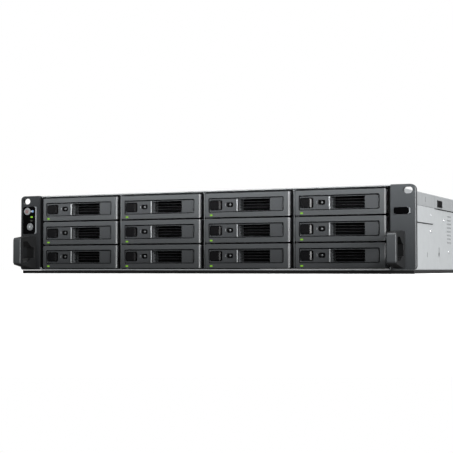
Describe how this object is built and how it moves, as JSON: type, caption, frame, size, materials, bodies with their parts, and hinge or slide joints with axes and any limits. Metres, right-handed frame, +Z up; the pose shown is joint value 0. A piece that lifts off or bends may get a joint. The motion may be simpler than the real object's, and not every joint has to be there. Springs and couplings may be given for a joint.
{
  "type": "network attached storage",
  "caption": "Rack-mount network storage server with front pull-out drive trays in columns, rack ears with pull handles, a sliding lid and hot-swap power supplies.",
  "frame": {"origin": "centre of the unit's bounding box on its underside", "axes": "+X to the right seen from the front, +Y from the front to the back, +Z up"},
  "size_m": [0.482, 0.725, 0.088],
  "materials": {
    "steel_sheet": "zinc-coated sheet, light grey",
    "ear_shell": "fine-textured dark grey",
    "tray_bezel": "satin dark grey plastic front, with the drive in its carrier behind",
    "lever_plastic": "satin dark grey",
    "gloss_black": "polished black",
    "grey_key": "satin grey",
    "black_plastic": "moulded black",
    "circuit_board": "solder mask",
    "supply_case": "plated sheet",
    "latch_green": "moulded green"
  },
  "bodies": {
    "chassis": {"chassis_base": "steel_sheet", "drive_cage": "steel_sheet", "front_cover": "steel_sheet", "left_ear": "ear_shell", "right_ear": "ear_shell", "left_handle": "ear_shell", "right_handle": "ear_shell", "control_panel": "gloss_black", "name_plate": "gloss_black", "backplane": "circuit_board", "fan_frame": "black_plastic", "mainboard": "circuit_board"},
    "lid": {"rear_lid": "steel_sheet"},
    "latch_left": {"lid_latch_left": "black_plastic"},
    "latch_right": {"lid_latch_right": "black_plastic"},
    "power_key": {"power_button": "grey_key"},
    "mute_key": {"mute_button": "grey_key"},
    "fan_left": {"fan_rotor_left": "black_plastic"},
    "fan_middle": {"fan_rotor_middle": "black_plastic"},
    "fan_right": {"fan_rotor_right": "black_plastic"},
    "supply_lower": {"power_supply_lower": "supply_case"},
    "supply_upper": {"power_supply_upper": "supply_case"},
    "supply_lever_lower": {"supply_latch_lower": "latch_green"},
    "supply_lever_upper": {"supply_latch_upper": "latch_green"},
    "tray_1": {"drive_tray_1": "tray_bezel"},
    "lever_1": {"tray_lever_1": "lever_plastic"},
    "button_1": {"release_button_1": "gloss_black"},
    "tray_2": {"drive_tray_2": "tray_bezel"},
    "lever_2": {"tray_lever_2": "lever_plastic"},
    "button_2": {"release_button_2": "gloss_black"},
    "tray_3": {"drive_tray_3": "tray_bezel"},
    "lever_3": {"tray_lever_3": "lever_plastic"},
    "button_3": {"release_button_3": "gloss_black"},
    "tray_4": {"drive_tray_4": "tray_bezel"},
    "lever_4": {"tray_lever_4": "lever_plastic"},
    "button_4": {"release_button_4": "gloss_black"},
    "tray_5": {"drive_tray_5": "tray_bezel"},
    "lever_5": {"tray_lever_5": "lever_plastic"},
    "button_5": {"release_button_5": "gloss_black"},
    "tray_6": {"drive_tray_6": "tray_bezel"},
    "lever_6": {"tray_lever_6": "lever_plastic"},
    "button_6": {"release_button_6": "gloss_black"},
    "tray_7": {"drive_tray_7": "tray_bezel"},
    "lever_7": {"tray_lever_7": "lever_plastic"},
    "button_7": {"release_button_7": "gloss_black"},
    "tray_8": {"drive_tray_8": "tray_bezel"},
    "lever_8": {"tray_lever_8": "lever_plastic"},
    "button_8": {"release_button_8": "gloss_black"},
    "tray_9": {"drive_tray_9": "tray_bezel"},
    "lever_9": {"tray_lever_9": "lever_plastic"},
    "button_9": {"release_button_9": "gloss_black"},
    "tray_10": {"drive_tray_10": "tray_bezel"},
    "lever_10": {"tray_lever_10": "lever_plastic"},
    "button_10": {"release_button_10": "gloss_black"},
    "tray_11": {"drive_tray_11": "tray_bezel"},
    "lever_11": {"tray_lever_11": "lever_plastic"},
    "button_11": {"release_button_11": "gloss_black"},
    "tray_12": {"drive_tray_12": "tray_bezel"},
    "lever_12": {"tray_lever_12": "lever_plastic"},
    "button_12": {"release_button_12": "gloss_black"}
  },
  "joints": [
    {"name": "lid_slide", "type": "slide", "parent": "chassis", "child": "lid", "axis": [0, 1, 0], "range_m": [0, 0.5]},
    {"name": "latch_left_slide", "type": "slide", "parent": "lid", "child": "latch_left", "axis": [0, 1, 0], "range_m": [0, 0.004]},
    {"name": "latch_right_slide", "type": "slide", "parent": "lid", "child": "latch_right", "axis": [0, 1, 0], "range_m": [0, 0.004]},
    {"name": "power_press", "type": "slide", "parent": "chassis", "child": "power_key", "axis": [0, 1, 0], "range_m": [0, 0.0005], "stiffness_N_per_m": 400},
    {"name": "mute_press", "type": "slide", "parent": "chassis", "child": "mute_key", "axis": [0, 1, 0], "range_m": [0, 0.0005], "stiffness_N_per_m": 400},
    {"name": "fan_left_spin", "type": "hinge", "parent": "chassis", "child": "fan_left", "pos_m": [-0.135, -0.0965, 0.0435], "axis": [0, 1, 0], "continuous": true},
    {"name": "fan_middle_spin", "type": "hinge", "parent": "chassis", "child": "fan_middle", "pos_m": [0, -0.0965, 0.0435], "axis": [0, 1, 0], "continuous": true},
    {"name": "fan_right_spin", "type": "hinge", "parent": "chassis", "child": "fan_right", "pos_m": [0.135, -0.0965, 0.0435], "axis": [0, 1, 0], "continuous": true},
    {"name": "supply_lower_slide", "type": "slide", "parent": "chassis", "child": "supply_lower", "axis": [0, 1, 0], "range_m": [0, 0.2]},
    {"name": "supply_lower_squeeze", "type": "slide", "parent": "supply_lower", "child": "supply_lever_lower", "axis": [1, 0, 0], "range_m": [0, 0.0025], "stiffness_N_per_m": 600},
    {"name": "supply_upper_slide", "type": "slide", "parent": "chassis", "child": "supply_upper", "axis": [0, 1, 0], "range_m": [0, 0.2]},
    {"name": "supply_upper_squeeze", "type": "slide", "parent": "supply_upper", "child": "supply_lever_upper", "axis": [1, 0, 0], "range_m": [0, 0.0025], "stiffness_N_per_m": 600},
    {"name": "tray_1_slide", "type": "slide", "parent": "chassis", "child": "tray_1", "axis": [0, -1, 0], "range_m": [0, 0.2]},
    {"name": "lever_1_swing", "type": "hinge", "parent": "tray_1", "child": "lever_1", "pos_m": [-0.11825, -0.3271, 0.0714], "axis": [0, 0, 1], "range_deg": [0, 45]},
    {"name": "button_1_press", "type": "slide", "parent": "lever_1", "child": "button_1", "axis": [0, 1, 0], "range_m": [0, 0.0015], "stiffness_N_per_m": 400},
    {"name": "tray_2_slide", "type": "slide", "parent": "chassis", "child": "tray_2", "axis": [0, -1, 0], "range_m": [0, 0.2]},
    {"name": "lever_2_swing", "type": "hinge", "parent": "tray_2", "child": "lever_2", "pos_m": [-0.01195, -0.3271, 0.0714], "axis": [0, 0, 1], "range_deg": [0, 45]},
    {"name": "button_2_press", "type": "slide", "parent": "lever_2", "child": "button_2", "axis": [0, 1, 0], "range_m": [0, 0.0015], "stiffness_N_per_m": 400},
    {"name": "tray_3_slide", "type": "slide", "parent": "chassis", "child": "tray_3", "axis": [0, -1, 0], "range_m": [0, 0.2]},
    {"name": "lever_3_swing", "type": "hinge", "parent": "tray_3", "child": "lever_3", "pos_m": [0.09435, -0.3271, 0.0714], "axis": [0, 0, 1], "range_deg": [0, 45]},
    {"name": "button_3_press", "type": "slide", "parent": "lever_3", "child": "button_3", "axis": [0, 1, 0], "range_m": [0, 0.0015], "stiffness_N_per_m": 400},
    {"name": "tray_4_slide", "type": "slide", "parent": "chassis", "child": "tray_4", "axis": [0, -1, 0], "range_m": [0, 0.2]},
    {"name": "lever_4_swing", "type": "hinge", "parent": "tray_4", "child": "lever_4", "pos_m": [0.20065, -0.3271, 0.0714], "axis": [0, 0, 1], "range_deg": [0, 45]},
    {"name": "button_4_press", "type": "slide", "parent": "lever_4", "child": "button_4", "axis": [0, 1, 0], "range_m": [0, 0.0015], "stiffness_N_per_m": 400},
    {"name": "tray_5_slide", "type": "slide", "parent": "chassis", "child": "tray_5", "axis": [0, -1, 0], "range_m": [0, 0.2]},
    {"name": "lever_5_swing", "type": "hinge", "parent": "tray_5", "child": "lever_5", "pos_m": [-0.11825, -0.3271, 0.0435], "axis": [0, 0, 1], "range_deg": [0, 45]},
    {"name": "button_5_press", "type": "slide", "parent": "lever_5", "child": "button_5", "axis": [0, 1, 0], "range_m": [0, 0.0015], "stiffness_N_per_m": 400},
    {"name": "tray_6_slide", "type": "slide", "parent": "chassis", "child": "tray_6", "axis": [0, -1, 0], "range_m": [0, 0.2]},
    {"name": "lever_6_swing", "type": "hinge", "parent": "tray_6", "child": "lever_6", "pos_m": [-0.01195, -0.3271, 0.0435], "axis": [0, 0, 1], "range_deg": [0, 45]},
    {"name": "button_6_press", "type": "slide", "parent": "lever_6", "child": "button_6", "axis": [0, 1, 0], "range_m": [0, 0.0015], "stiffness_N_per_m": 400},
    {"name": "tray_7_slide", "type": "slide", "parent": "chassis", "child": "tray_7", "axis": [0, -1, 0], "range_m": [0, 0.2]},
    {"name": "lever_7_swing", "type": "hinge", "parent": "tray_7", "child": "lever_7", "pos_m": [0.09435, -0.3271, 0.0435], "axis": [0, 0, 1], "range_deg": [0, 45]},
    {"name": "button_7_press", "type": "slide", "parent": "lever_7", "child": "button_7", "axis": [0, 1, 0], "range_m": [0, 0.0015], "stiffness_N_per_m": 400},
    {"name": "tray_8_slide", "type": "slide", "parent": "chassis", "child": "tray_8", "axis": [0, -1, 0], "range_m": [0, 0.2]},
    {"name": "lever_8_swing", "type": "hinge", "parent": "tray_8", "child": "lever_8", "pos_m": [0.20065, -0.3271, 0.0435], "axis": [0, 0, 1], "range_deg": [0, 45]},
    {"name": "button_8_press", "type": "slide", "parent": "lever_8", "child": "button_8", "axis": [0, 1, 0], "range_m": [0, 0.0015], "stiffness_N_per_m": 400},
    {"name": "tray_9_slide", "type": "slide", "parent": "chassis", "child": "tray_9", "axis": [0, -1, 0], "range_m": [0, 0.2]},
    {"name": "lever_9_swing", "type": "hinge", "parent": "tray_9", "child": "lever_9", "pos_m": [-0.11825, -0.3271, 0.0156], "axis": [0, 0, 1], "range_deg": [0, 45]},
    {"name": "button_9_press", "type": "slide", "parent": "lever_9", "child": "button_9", "axis": [0, 1, 0], "range_m": [0, 0.0015], "stiffness_N_per_m": 400},
    {"name": "tray_10_slide", "type": "slide", "parent": "chassis", "child": "tray_10", "axis": [0, -1, 0], "range_m": [0, 0.2]},
    {"name": "lever_10_swing", "type": "hinge", "parent": "tray_10", "child": "lever_10", "pos_m": [-0.01195, -0.3271, 0.0156], "axis": [0, 0, 1], "range_deg": [0, 45]},
    {"name": "button_10_press", "type": "slide", "parent": "lever_10", "child": "button_10", "axis": [0, 1, 0], "range_m": [0, 0.0015], "stiffness_N_per_m": 400},
    {"name": "tray_11_slide", "type": "slide", "parent": "chassis", "child": "tray_11", "axis": [0, -1, 0], "range_m": [0, 0.2]},
    {"name": "lever_11_swing", "type": "hinge", "parent": "tray_11", "child": "lever_11", "pos_m": [0.09435, -0.3271, 0.0156], "axis": [0, 0, 1], "range_deg": [0, 45]},
    {"name": "button_11_press", "type": "slide", "parent": "lever_11", "child": "button_11", "axis": [0, 1, 0], "range_m": [0, 0.0015], "stiffness_N_per_m": 400},
    {"name": "tray_12_slide", "type": "slide", "parent": "chassis", "child": "tray_12", "axis": [0, -1, 0], "range_m": [0, 0.2]},
    {"name": "lever_12_swing", "type": "hinge", "parent": "tray_12", "child": "lever_12", "pos_m": [0.20065, -0.3271, 0.0156], "axis": [0, 0, 1], "range_deg": [0, 45]},
    {"name": "button_12_press", "type": "slide", "parent": "lever_12", "child": "button_12", "axis": [0, 1, 0], "range_m": [0, 0.0015], "stiffness_N_per_m": 400}
  ]
}
